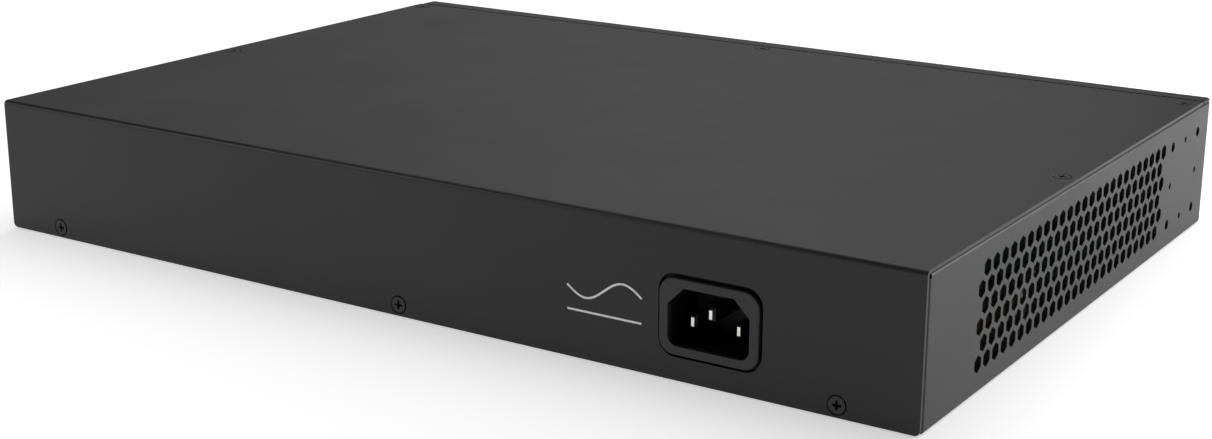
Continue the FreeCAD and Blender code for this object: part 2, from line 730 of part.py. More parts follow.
def power_board():
    return board_plate(POWER_LEFT, POWER_RIGHT, POWER_FRONT, POWER_REAR, POWER_HOLES)


def standoffs():
    shapes = []
    for x, y in standoff_spots():
        foot = rod(STANDOFF_FOOT, (x, y, 0), (0, 0, 1), FLOOR)
        post = rod(STANDOFF_RADIUS, (x, y, FLOOR), (0, 0, 1), STANDOFF)
        bore = rod(SCREW_RADIUS + 0.02, (x, y, FLOOR), (0, 0, 1), STANDOFF + 1)
        shapes.append(foot.fuse(post).cut(bore).removeSplitter())
    return group(shapes)


def board_screws():
    return group([aim(pan_screw(BOARD_SCREW), (x, y, DECK), (0, 0, 1)) for x, y in standoff_spots()])


def insulator_sheet():
    """Plastic sheet under the power board with its rear edge folded up."""
    x0 = POWER_LEFT - INSULATOR_EDGE
    x1 = POWER_RIGHT + INSULATOR_EDGE
    front = POWER_FRONT - INSULATOR_EDGE
    rear = POWER_REAR + 2.5
    sheet = box(x0, x1, front, rear, FLOOR, FLOOR + INSULATOR_T)
    wall = box(x0, x1, rear - INSULATOR_T, rear, FLOOR, FLOOR + INSULATOR_WALL)
    holes = [rod(STANDOFF_RADIUS + 0.3, (x, y, 0), (0, 0, 1), 5) for x, y in POWER_HOLES]
    return join([sheet, wall]).cut(holes)


# ---- Power supply parts -------------------------------------------------------------------------------
def mains_fuse():
    """Glass fuse between two clip-on end caps."""
    x, y, z = FUSE_SPOT
    shapes = [rod(FUSE_RADIUS, FUSE_SPOT, (1, 0, 0), FUSE_LENGTH)]
    for cap_x in (x - CAP_LENGTH, x + FUSE_LENGTH):
        cap = rod(FUSE_RADIUS + 0.3, (cap_x, y, z), (1, 0, 0), CAP_LENGTH)
        clip = box(cap_x + 1.5, cap_x + 3.5, y - FUSE_RADIUS, y + FUSE_RADIUS, DECK, z)
        shapes.append(cap.fuse(clip).removeSplitter())
    return group(shapes)


def line_capacitor():
    return soft_box(*LINE_CAP, DECK, DECK + LINE_CAP_H, 0.8, "z")


def choke_core():
    """Ferrite ring stood on edge on a small base."""
    x, y, z = CHOKE_SPOT
    ring = Part.makeTorus(CHOKE_RING, CHOKE_THICK, V(x, y, z), V(0, 1, 0))
    base = box(x - 8, x + 8, y - 5, y + 5, DECK, DECK + 1.5)
    post = box(x - 1, x + 1, y - 1, y + 1, DECK + 1, z - CHOKE_RING)
    return join([ring, base, post])


def choke_winding():
    """Two banks of wire turns round the core ring."""
    turns = []
    for side in (0, 180):
        for i in range(CHOKE_BANK):
            angle = math.radians(side + CHOKE_STEP * (i - (CHOKE_BANK - 1) / 2))
            outward = V(math.cos(angle), 0, math.sin(angle))
            along = V(-math.sin(angle), 0, math.cos(angle))
            centre = V(*CHOKE_SPOT) + outward * CHOKE_RING
            turns.append(Part.makeTorus(CHOKE_THICK + CHOKE_WIRE + 0.02, CHOKE_WIRE, centre, along))
    return group(turns)


def can_capacitor(x, y, radius, height, groove=True):
    """Electrolytic capacitor with a crimp above its base and a scored top."""
    can = rod(radius, (x, y, DECK), (0, 0, 1), height)
    can = round_edges(can, 0.6, lambda m, a: near(m.z, DECK + height))
    if groove:
        can = can.cut(Part.makeTorus(radius + 0.3, 0.7, V(x, y, DECK + 2.6), V(0, 0, 1)))
        top = DECK + height
        can = can.cut([box(x - radius * 0.7, x + radius * 0.7, y - 0.15, y + 0.15, top - 0.2, top + 1),
                       box(x - 0.15, x + 0.15, y - radius * 0.7, y + radius * 0.7, top - 0.2, top + 1)])
    return can


def bulk_capacitor():
    return can_capacitor(*BULK_CAP)


def output_capacitors():
    return group([can_capacitor(OUTPUT_CAP_X, y, OUTPUT_CAP_RADIUS, OUTPUT_CAP_H)
                  for y in OUTPUT_CAP_ROWS])


def power_heatsinks():
    """Upright aluminium plates with ribs on one face."""
    shapes = []
    for x0, x1, y in HEATSINKS:
        parts = [box(x0, x1, y, y + HEATSINK_T, DECK, HEATSINK_TOP)]
        pitch = (x1 - x0 - HEATSINK_RIB_T) / (HEATSINK_RIBS - 1)
        for i in range(HEATSINK_RIBS):
            rib_x = x0 + pitch * i
            parts.append(box(rib_x, rib_x + HEATSINK_RIB_T, y - HEATSINK_RIB_DEPTH, y,
                             DECK + 6, HEATSINK_TOP))
        shapes.append(join(parts))
    return group(shapes)


def power_transistors():
    """A plastic power package with a metal tab and three legs flat on each heatsink."""
    shapes = []
    for x0, x1, y in HEATSINKS:
        x = (x0 + x1) / 2
        face = y + HEATSINK_T
        low = DECK + 5
        body = box(x - 5, x + 5, face + 1.0, face + 4.4, low, low + 9)
        tab = box(x - 5, x + 5, face, face + 1.0, low, low + 15)
        tab = tab.cut(rod(1.8, (x, face - 1, low + 12), (0, 1, 0), 5))
        legs = [box(x + dx - 0.4, x + dx + 0.4, face + 2.2, face + 2.8, DECK, low)
                for dx in (-LEG_PITCH, 0, LEG_PITCH)]
        shapes.append(join([body, tab] + legs))
    return group(shapes)


def transformer_limb(low, high):
    """The middle limb, which the winding's bobbin goes round."""
    return box(TRANSFORMER_X - LIMB_W / 2, TRANSFORMER_X + LIMB_W / 2,
               TRANSFORMER_Y - LIMB_T / 2, TRANSFORMER_Y + LIMB_T / 2, low, high)


def transformer_core():
    """Ferrite frame round the middle limb."""
    x = TRANSFORMER_X
    y = TRANSFORMER_Y
    low = TRANSFORMER_LOW
    frame = box(x - 16, x + 16, y - LIMB_T / 2, y + LIMB_T / 2, low, low + 22)
    window = box(x - 11.5, x + 11.5, y - 6, y + 6, low + 5, low + 17)
    return join([frame.cut(window), transformer_limb(low + 4, low + 18)])


def transformer_winding():
    """Bobbin and taped winding round the middle limb, on two rows of legs."""
    x0 = TRANSFORMER_X - 11.2
    x1 = TRANSFORMER_X + 11.2
    y = TRANSFORMER_Y
    low = TRANSFORMER_LOW
    coil = soft_box(x0, x1, y - 12, y + 12, low + 6, low + 16, 4.0, "z")
    flange_low = soft_box(x0, x1, y - 13, y + 13, low + 5, low + 6, 3.0, "z")
    flange_high = soft_box(x0, x1, y - 13, y + 13, low + 16, low + 17, 3.0, "z")
    parts = [coil, flange_low, flange_high]
    for rail_y in (y - 10.5, y + 10.5):
        parts.append(box(x0, x1, rail_y - 2.5, rail_y + 2.5, DECK + 2, low + 5))
        for i in range(5):
            parts.append(rod(0.4, (TRANSFORMER_X - 9 + 4.5 * i, rail_y, DECK), (0, 0, 1), 2.1))
    parts.append(box(x0, x1, y - 12.9, y + 12.9, DECK + 2, DECK + 3.9))
    return join(parts).cut(transformer_limb(low, low + 20))


# ---- Headers and internal wiring -------------------------------------------------------------------------
def board_headers():
    """Shrouded plugs and sockets, one for each cable."""
    shapes = []
    for x, y, width, depth, height in HEADERS.values():
        shapes.append(soft_box(x - width / 2, x + width / 2, y - depth / 2, y + depth / 2,
                               DECK, DECK + height, 0.5, "z"))
    return group(shapes)


def header_top(name, dx=0.0):
    x, y, _, _, height = HEADERS[name]
    return (x + dx, y, DECK + height)


def tab_end(spot):
    return (spot[0], REAR - INLET_DEPTH - TAB_LENGTH - SLEEVE_REACH, spot[1])


def wire(route, radius):
    return tube(route, radius, BEND_RATIO * radius)


def line_wire():
    """Turns up in front of the choke, then left and down into the header."""
    start = tab_end(pin_spots()[0])
    end = header_top("mains", -3.5)
    route = [start, (start[0], 77.5, start[2]), (-120.0, 77.0, 33.0), (end[0], end[1], 33.0), end]
    return wire(route, MAINS_WIRE)


def neutral_wire():
    """Passes under the earth and line wires on its way to the header."""
    start = tab_end(pin_spots()[1])
    end = header_top("mains", 3.5)
    route = [start, (start[0], 77.5, start[2]), (-114.5, 77.5, 10.8), (-122.5, 78.0, 27.5),
             (end[0], end[1], 27.5), end]
    return wire(route, MAINS_WIRE)


def earth_wire():
    """Up from the earth terminal, over to the right and down to the lug on the floor stud."""
    start = tab_end(pin_spots()[2])
    end = (EARTH_X + LUG_REACH, EARTH_Y, FLOOR + LUG_RADIUS)
    route = [start, (start[0], 77.3, start[2]), (-101.0, 77.3, 37.5), (-80.0, 89.5, 38.5),
             (-58.0, 98.0, 37.5), (-50.5, EARTH_Y, 22.0), (-50.0, end[1], end[2]), end]
    return wire(route, MAINS_WIRE)


def earth_lug():
    barrel = rod(LUG_RADIUS, (EARTH_X + LUG_REACH - 5, EARTH_Y, FLOOR + LUG_RADIUS), (1, 0, 0), 5)
    ring = rod(3.6, (EARTH_X, EARTH_Y, FLOOR), (0, 0, 1), LUG_T)
    neck = box(EARTH_X, EARTH_X + LUG_REACH - 3, EARTH_Y - 1.5, EARTH_Y + 1.5, FLOOR, FLOOR + LUG_T)
    hole = rod(EARTH_RADIUS + 0.1, (EARTH_X, EARTH_Y, 0), (0, 0, 1), 9)
    return join([barrel, ring, neck]).cut(hole)


def earth_stud():
    return rod(EARTH_RADIUS - 0.02, (EARTH_X, EARTH_Y, 0), (0, 0, 1), 11)


def earth_nut():
    nut = hexagon(4.0, 3.2).translated(V(EARTH_X, EARTH_Y, FLOOR + LUG_T))
    return nut.cut(rod(EARTH_RADIUS, (EARTH_X, EARTH_Y, 0), (0, 0, 1), 12))


def supply_cable():
    start = header_top("supply out")
    end = header_top("supply in")
    high = start[2] + 12
    route = [start, (start[0], start[1], high), (end[0], end[1], high), end]
    return wire(route, CABLE)


def fan_cable(name, centre):
    end = header_top("fan " + name)
    start = (FAN_X0, centre - 17.0, 30.0)
    route = [start, (start[0] - 6, start[1], 30.0), (end[0], start[1] - 8, 28.0), (end[0], end[1], 28.0), end]
    return wire(route, FAN_CABLE)


# ---- Network jacks -------------------------------------------------------------------------------------
def port_centres():
    """x of the six columns of ports from a gang's middle."""
    return [PORT_PITCH * (i - (PORTS_ACROSS - 1) / 2) for i in range(PORTS_ACROSS)]


def port_outline(x, up, y):
    """Jack opening: a rectangle with a stepped latch way on the side away from the middle line."""
    z0 = GANG_MID + up * PORT_OFFSET
    z1 = z0 + up * PORT_H
    z2 = z1 + up * LATCH_H
    z3 = z2 + up * KEY_H
    half = PORT_W / 2
    latch = LATCH_W / 2
    key = KEY_W / 2
    right = [(x + half, y, z0), (x + half, y, z1), (x + latch, y, z1), (x + latch, y, z2),
             (x + key, y, z2), (x + key, y, z3)]
    left = [(2 * x - px, py, pz) for px, py, pz in reversed(right)]
    return right + left


def port_tools(centre, y0, depth):
    return [prism(port_outline(centre + dx, up, y0), (0, depth, 0))
            for dx in port_centres() for up in (-1, 1)]


def light_blocks(centre, y0, y1, play):
    """The two light windows beside the latch way of every port."""
    shapes = []
    half_w = LIGHT_W / 2 + play
    half_h = LIGHT_H / 2 + play
    z_off = PORT_OFFSET + PORT_H + 0.35 + LIGHT_H / 2
    for dx in port_centres():
        for side in (-1, 1):
            for up in (-1, 1):
                x = centre + dx + side * LIGHT_OFFSET
                z = GANG_MID + up * z_off
                shapes.append(box(x - half_w, x + half_w, y0, y1, z - half_h, z + half_h))
    return shapes


def gang_box(centre, inset):
    return box(centre - GANG_W / 2 + inset, centre + GANG_W / 2 - inset, GANG_FRONT + inset,
               GANG_FRONT + GANG_DEPTH - inset, DECK + inset, DECK + GANG_H - inset)


def jack_shell(centre):
    """Folded metal shield with a window for every port and light."""
    tools = port_tools(centre, GANG_FRONT - 1, 2) + light_blocks(centre, GANG_FRONT - 1, GANG_FRONT + 1, 0.05)
    return gang_box(centre, 0).cut([gang_box(centre, SHELL)] + tools)


def jack_insert(centre):
    tools = port_tools(centre, GANG_FRONT - 1, PORT_DEPTH + 1)
    tools += light_blocks(centre, GANG_FRONT - 1, GANG_FRONT + LIGHT_DEPTH, 0.05)
    return gang_box(centre, SHELL + 0.02).cut(tools)


def jack_contacts(centre):
    """Eight sprung wires in every port, sloping back from the contact side."""
    shapes = []
    front = GANG_FRONT + 2.2
    back = GANG_FRONT + 10.5
    dip = 2.5
    for dx in port_centres():
        for up in (-1, 1):
            z0 = GANG_MID + up * PORT_OFFSET
            for i in range(CONTACTS):
                x = centre + dx + CONTACT_PITCH * (i - (CONTACTS - 1) / 2) - CONTACT_W / 2
                outline = [(x, front, z0), (x, front + 0.8, z0), (x, back, z0 + up * (dip - CONTACT_T)),
                           (x, back, z0 + up * dip), (x, front, z0 + up * CONTACT_T)]
                shapes.append(prism(outline, (CONTACT_W, 0, 0)))
    return group(shapes)


def jack_lights():
    shapes = []
    for centre in GANG_CENTRES:
        shapes += light_blocks(centre, GANG_FRONT, GANG_FRONT + LIGHT_DEPTH, 0)
    return group(shapes)


# ---- Fibre cages --------------------------------------------------------------------------------------
def cage_box(centre, inset):
    return box(centre - CAGE_W / 2 + inset, centre + CAGE_W / 2 - inset, GANG_FRONT + inset,
               GANG_FRONT + CAGE_DEPTH - inset, DECK + inset, DECK + CAGE_H - inset)


def fibre_cages():
    """Thin sheet cages open at the front, each with a row of vent holes on top."""
    shapes = []
    for centre in CAGE_CENTRES:
        mouth = box(centre - CAGE_W / 2 + CAGE_SHEET, centre + CAGE_W / 2 - CAGE_SHEET, GANG_FRONT - 1,
                    GANG_FRONT + 1, DECK + CAGE_SHEET, DECK + CAGE_H - CAGE_SHEET)
        holes = [rod(1.0, (centre + dx, GANG_FRONT + 20 + 4 * i, DECK + CAGE_H - 1), (0, 0, 1), 2)
                 for dx in (-4, 0, 4) for i in range(6)]
        shapes.append(cage_box(centre, 0).cut([cage_box(centre, CAGE_SHEET), mouth] + holes))
    return group(shapes)


def fibre_connectors():
    """Edge connector at the back of each cage."""
    shapes = []
    back = GANG_FRONT + CAGE_DEPTH - CAGE_SHEET - 0.1
    low = DECK + CAGE_SHEET
    for centre in CAGE_CENTRES:
        body = box(centre - 6.0, centre + 6.0, back - 10, back, low, low + 6.2)
        slot = box(centre - 4.6, centre + 4.6, back - 11, back - 4, low + 2.6, low + 3.8)
        shapes.append(body.cut(slot))
    return group(shapes)


# ---- Status lights and reset button -----------------------------------------------------------------
def light_routes():
    """Front end, bend and board end of every light pipe."""
    routes = []
    chip_top = DECK + CHIP_LIGHT_H
    for i, height in enumerate(STATUS_HEIGHTS):
        y = FRONT + 8 + STATUS_STEP * i
        routes.append([(STATUS_X, GANG_FRONT, height), (STATUS_X, y, height), (STATUS_X, y, chip_top)])
    for centre in CAGE_CENTRES:
        y = GANG_FRONT + CAGE_DEPTH + 3
        routes.append([(centre, GANG_FRONT, CAGE_LIGHT_Z), (centre, y, CAGE_LIGHT_Z), (centre, y, chip_top)])
    return routes


def light_pipes():
    return group([tube(route, PIPE_RADIUS, PIPE_BEND) for route in light_routes()])


def light_chips():
    shapes = []
    for route in light_routes():
        x, y, z = route[-1]
        shapes.append(box(x - 1.0, x + 1.0, y - 0.7, y + 0.7, DECK, z))
    return group(shapes)


def reset_button():
    """Round push rod: cap in the front wall, collar behind it and stem in the switch."""
    cap = rod(BUTTON_RADIUS, (BUTTON_X, BUTTON_FRONT, BUTTON_Z), (0, 1, 0), COLLAR_Y - BUTTON_FRONT)
    cap = round_edges(cap, 0.25, lambda m, a: near(m.y, BUTTON_FRONT))
    collar = rod(COLLAR_RADIUS, (BUTTON_X, COLLAR_Y, BUTTON_Z), (0, 1, 0), COLLAR_T)
    stem = rod(BUTTON_STEM_RADIUS, (BUTTON_X, COLLAR_Y + COLLAR_T, BUTTON_Z), (0, 1, 0), BUTTON_STEM)
    return join([cap, collar, stem])


def reset_switch():
    """Board-mounted push switch whose bore takes the button's stem."""
    half = SWITCH_BODY / 2
    body = soft_box(BUTTON_X - half, BUTTON_X + half, SWITCH_Y, SWITCH_Y + SWITCH_DEPTH,
                    DECK, BUTTON_Z + half, 0.4, "y")
    bore_depth = 1 + SWITCH_DEPTH - SWITCH_BACK
    bore = rod(BUTTON_STEM_RADIUS + BUTTON_PLAY, (BUTTON_X, SWITCH_Y - 1, BUTTON_Z), (0, 1, 0), bore_depth)
    return body.cut(bore)


# ---- Chips and board parts ---------------------------------------------------------------------------
def switch_chip():
    half = CHIP_SIZE / 2
    return box(CHIP_X - half, CHIP_X + half, CHIP_Y - half, CHIP_Y + half, DECK, DECK + CHIP_T)


def chip_heatsink():
    """Finned heatsink on the switch chip, with two cross cuts."""
    x0 = CHIP_X - SINK_SIZE / 2
    x1 = CHIP_X + SINK_SIZE / 2
    y0 = CHIP_Y - SINK_SIZE / 2
    y1 = CHIP_Y + SINK_SIZE / 2
    low = DECK + CHIP_T
    fin_low = low + SINK_BASE
    top = low + SINK_H
    pitch = (SINK_SIZE - SINK_FIN_T) / (SINK_FINS - 1)
    parts = [box(x0, x1, y0, y1, low, fin_low)]
    for i in range(SINK_FINS):
        fin_x = x0 + pitch * i
        parts.append(box(fin_x, fin_x + SINK_FIN_T, y0, y1, fin_low, top))
    gaps = [box(x0 - 1, x1 + 1, CHIP_Y + dy - SINK_GAP_W / 2, CHIP_Y + dy + SINK_GAP_W / 2,
                fin_low, top + 1) for dy in SINK_GAPS]
    return join(parts).cut(gaps)


def port_chips():
    """One transceiver chip for every eight ports."""
    half = PHY_SIZE / 2
    return group([box(x - half, x + half, y - half, y + half, DECK, DECK + PHY_T)
                  for x, y in PHY_SPOTS])


def line_magnetics():
    """Isolating transformer modules behind the jacks, one for each pair of ports."""
    shapes = []
    y0 = GANG_FRONT + GANG_DEPTH + 3
    half = MAGNETICS_W / 2
    for centre in GANG_CENTRES:
        for dx in port_centres():
            x = centre + dx
            shapes.append(soft_box(x - half, x + half, y0, y0 + MAGNETICS_W,
                                   DECK, DECK + MAGNETICS_H, 0.5, "z"))
    return group(shapes)


def board_capacitors():
    """Small cans in a row beside the supply input."""
    return group([can_capacitor(x, y, SMALL_CAP_RADIUS, SMALL_CAP_H, False) for x, y in SMALL_CAPS])


# ---- Cooling fans ----------------------------------------------------------------------------------------
def fan_rod(radius, x0, x1, centre):
    """Round bar on a fan's axis from x0 to x1."""
    return rod(radius, (x0, centre, FAN_Z), (1, 0, 0), x1 - x0)


def fan_spider(centre):
    """Hub plate, centre tube and four arms on the outlet side."""
    x1 = FAN_X1 - SPIDER_GAP
    x0 = x1 - SPIDER_T
    parts = [fan_rod(HUB_RADIUS, x0, x1, centre), fan_rod(TUBE_RADIUS, FAN_X0 + 5.5, x1, centre)]
    for angle in (45, 135, 225, 315):
        arm = box(x0, x1, centre + HUB_RADIUS - 1, centre + FAN_BORE + 0.5,
                  FAN_Z - SPIDER_ARM / 2, FAN_Z + SPIDER_ARM / 2)
        parts.append(arm.rotated(V(FAN_X1, centre, FAN_Z), V(1, 0, 0), angle))
    return parts


def fan_frame(centre):
    """Square frame round a bore, with end plates, a round waist and the spider."""
    half = FAN_SIZE / 2
    y0 = centre - half
    y1 = centre + half
    z0 = FAN_Z - half
    z1 = FAN_Z + half
    block = soft_box(FAN_X0, FAN_X1, y0, y1, z0, z1, 3.0, "x")
    waist_x0 = FAN_X0 + FAN_PLATE
    waist_x1 = FAN_X1 - FAN_PLATE
    waist = box(waist_x0, waist_x1, y0 - 1, y1 + 1, z0 - 1, z1 + 1)
    waist = waist.cut(fan_rod(half - 0.1, waist_x0, waist_x1, centre))
    ring = block.cut([waist, fan_rod(FAN_BORE, FAN_X0 - 1, FAN_X1 + 1, centre)])
    frame = join([ring] + fan_spider(centre))
    holes = [fan_rod(SHAFT_RADIUS + SHAFT_PLAY, FAN_X0, FAN_X1 - 1.2, centre)]
    for x, y, z in fan_screw_spots():
        if abs(y - centre) < half:
            holes.append(rod(SCREW_RADIUS + 0.02, (FAN_X0 - 1, y, z), (1, 0, 0), FAN_T + 2))
            holes.append(aim(flat_screw_seat(SCREW_LENGTH), (x, y, z), (1, 0, 0)))
    return frame.cut(holes)


def blade_section(centre, radius, pitch, chord):
    """Tilted rectangle across a blade at a radius above the fan's axis."""
    tilt = math.radians(pitch)
    middle_x = ROTOR_X0 + HUB_LENGTH / 2
    corners = []
    for along, across in ((-1, -1), (1, -1), (1, 1), (-1, 1)):
        a = along * chord / 2
        b = across * BLADE_T / 2
        dx = a * math.sin(tilt) + b * math.cos(tilt)
        dy = a * math.cos(tilt) - b * math.sin(tilt)
        corners.append(V(middle_x + dx, centre + dy, FAN_Z + radius))
    return Part.makePolygon(corners + [corners[0]])


def blade(centre, angle):
    """One twisted blade, steeper at the hub than at its tip."""
    root = blade_section(centre, HUB_RADIUS - 0.4, *BLADE_ROOT)
    end = blade_section(centre, BLADE_TIP + 1.0, *BLADE_END)
    shape = Part.makeLoft([root, end], True, True)
    return shape.rotated(V(0, centre, FAN_Z), V(1, 0, 0), angle)


def fan_rotor(centre):
    """Hub cup with seven twisted blades."""
    x0 = ROTOR_X0
    x1 = ROTOR_X0 + HUB_LENGTH
    sweep = fan_rod(BLADE_TIP, x0 + 0.3, x1 - 0.3, centre)
    blades = [blade(centre, 360.0 / BLADES * i).common(sweep) for i in range(BLADES)]
    cup = round_edges(fan_rod(HUB_RADIUS, x0, x1, centre), 0.8, lambda m, a: near(m.x, x0))
    hollow = fan_rod(HUB_RADIUS - HUB_WALL, x0 + ROTOR_FACE, x1 + 1, centre)
    hole = fan_rod(SHAFT_RADIUS, x0 + 0.6, x0 + 5.6, centre)
    return join([cup] + blades).cut([hollow, hole])


def fan_shaft(centre):
    return fan_rod(SHAFT_RADIUS, ROTOR_X0 + 0.6, ROTOR_X0 + 0.6 + SHAFT_LENGTH, centre)


def fan_stator(centre):
    """Four poles round the centre tube."""
    x0 = STATOR_X0
    x1 = STATOR_X0 + STATOR_LENGTH
    parts = [fan_rod(TUBE_RADIUS + 1.5, x0, x1, centre)]
    for angle in (0, 90, 180, 270):
        arm = box(x0 + 1, x1 - 1, centre + 4, centre + 8, FAN_Z - 1.6, FAN_Z + 1.6)
        shoe = fan_rod(POLE_RADIUS, x0 + 1, x1 - 1, centre)
        shoe = shoe.cut(fan_rod(POLE_RADIUS - POLE_T, x0, x1, centre))
        shoe = shoe.common(box(x0, x1, centre + 5, centre + 9, FAN_Z - 4.6, FAN_Z + 4.6))
        parts.append(arm.fuse(shoe).rotated(V(x0, centre, FAN_Z), V(1, 0, 0), angle))
    return join(parts).cut(fan_rod(TUBE_RADIUS, x0 - 1, x1 + 1, centre))


def fan_screws():
    return group([aim(flat_screw(SCREW_LENGTH), spot, (1, 0, 0)) for spot in fan_screw_spots()])


# ---- All pieces --------------------------------------------------------------------------------------
def pieces():
    made = {
        "tray": tray(),
        "cover": cover(),
        "cover_screws": cover_screws(),
        "rear_screws": rear_screws(),
        "inlet_bracket": inlet_bracket(),
        "inlet_body": inlet_body(),
        "inlet_pins": inlet_pins(),
        "inlet_receptacles": inlet_receptacles(),
        "main_board": main_board(),
        "power_board": power_board(),
        "standoffs": standoffs(),
        "board_screws": board_screws(),
        "insulator_sheet": insulator_sheet(),
        "mains_fuse": mains_fuse(),
        "line_capacitor": line_capacitor(),
        "choke_core": choke_core(),
        "choke_winding": choke_winding(),
        "bulk_capacitor": bulk_capacitor(),
        "output_capacitors": output_capacitors(),
        "power_heatsinks": power_heatsinks(),
        "power_transistors": power_transistors(),
        "transformer_core": transformer_core(),
        "transformer_winding": transformer_winding(),
        "board_headers": board_headers(),
        "line_wire": line_wire(),
        "neutral_wire": neutral_wire(),
        "earth_wire": earth_wire(),
        "earth_lug": earth_lug(),
        "earth_stud": earth_stud(),
        "earth_nut": earth_nut(),
        "supply_cable": supply_cable(),
        "jack_lights": jack_lights(),
        "fibre_cages": fibre_cages(),
        "fibre_connectors": fibre_connectors(),
        "light_pipes": light_pipes(),
        "light_chips": light_chips(),
        "reset_button": reset_button(),
        "reset_switch": reset_switch(),
        "switch_chip": switch_chip(),
        "chip_heatsink": chip_heatsink(),
        "port_chips": port_chips(),
        "line_magnetics": line_magnetics(),
        "board_capacitors": board_capacitors(),
        "fan_screws": fan_screws(),
    }
    for side, centre in zip(("left", "right"), GANG_CENTRES):
        made["jack_shell_" + side] = jack_shell(centre)
        made["jack_insert_" + side] = jack_insert(centre)
        made["jack_contacts_" + side] = jack_contacts(centre)
    for name, centre in zip(FAN_NAMES, FAN_CENTRES):
        made["fan_frame_" + name] = fan_frame(centre)
        made["fan_rotor_" + name] = fan_rotor(centre)
        made["fan_shaft_" + name] = fan_shaft(centre)
        made["fan_stator_" + name] = fan_stator(centre)
        made["fan_cable_" + name] = fan_cable(name, centre)
    return made


os.makedirs("parts", exist_ok=True)
for node, shape in pieces().items():
    shape.exportStep("parts/" + node + ".step")
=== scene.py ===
import json
import math

import bpy
from mathutils import Matrix, Vector


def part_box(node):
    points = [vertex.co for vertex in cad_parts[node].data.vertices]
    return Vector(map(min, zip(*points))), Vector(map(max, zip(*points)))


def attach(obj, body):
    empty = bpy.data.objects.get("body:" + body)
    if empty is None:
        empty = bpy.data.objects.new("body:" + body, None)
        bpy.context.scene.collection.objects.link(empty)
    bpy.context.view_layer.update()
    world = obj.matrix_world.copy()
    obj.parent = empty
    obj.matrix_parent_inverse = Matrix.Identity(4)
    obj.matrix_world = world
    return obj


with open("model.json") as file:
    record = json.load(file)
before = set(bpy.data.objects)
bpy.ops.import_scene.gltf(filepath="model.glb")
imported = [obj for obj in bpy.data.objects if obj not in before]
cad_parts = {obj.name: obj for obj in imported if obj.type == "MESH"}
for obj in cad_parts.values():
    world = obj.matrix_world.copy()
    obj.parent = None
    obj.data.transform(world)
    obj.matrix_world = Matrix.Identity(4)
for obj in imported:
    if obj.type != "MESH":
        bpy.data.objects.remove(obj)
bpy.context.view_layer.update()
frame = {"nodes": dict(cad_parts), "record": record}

MM = 0.001
NODES = frame["nodes"]

# ---- Camera: distance and small steps across and up in metres, lens and sensor in millimetres ----
AZIMUTH = math.radians(213.0)
ELEVATION = math.radians(16.31)
ROLL = math.radians(0.27)
DISTANCE = 0.6647
SIDE_STEP = 0.00222
RISE_STEP = -0.00154
LENS = 58.19
SENSOR_WIDTH = 36.0

# ---- Lamps: place, aim, width and height in metres, watts ----------------------------------------
LAMPS = {
    "overhead": ((0.0, -0.55, 1.4), (0.0, 0.05, 0.0), (2.0, 2.0), 19.0),
    "backdrop": ((0.88, -1.2, 0.42), (0.0, 0.0, 0.0), (1.5, 1.1), 1.48),
    "key": ((-0.58, -0.5, 0.24), (-0.16, -0.02, 0.02), (0.3, 0.3), 2.75),
    "fill": ((0.44, 0.5, 0.3), (0.12, 0.1, 0.02), (0.25, 0.25), 0.92),
}

# ---- Room and floor: brightness of each, half the floor's width and its drop below the case ------
ROOM_GLOW = 0.01
FLOOR_GLOW = 0.5
FLOOR_REACH = 6.0
FLOOR_DROP = 0.2 * MM

# ---- Printed marking beside the mains inlet ------------------------------------------------------
WAVE_WIDTH = 24.0 * MM
WAVE_RISE = 3.0 * MM
WAVE_STEPS = 48
RULE_DROP = 7.0 * MM
MARKING_FROM_INLET = 17.3 * MM
MARKING_ABOVE_INLET_CENTRE = 3.0 * MM
STROKE = 0.6 * MM
INK_BACK = 0.005 * MM
INK_FRONT = 0.03 * MM

# ---- Mains inlet: how far behind its face the painted socket shade starts, and over what depth ---
SOCKET_SHADE_START = 0.4 * MM
SOCKET_SHADE_FADE = 2.0 * MM

# ---- Circuit boards: copper cells along a metre --------------------------------------------------
TRACK_CELLS = 260.0


# ---- How a finish is made ------------------------------------------------------------------------
def shade(colour, factor):
    return tuple(min(1.0, part * factor) for part in colour)


def grey(level):
    return (level, level, level)


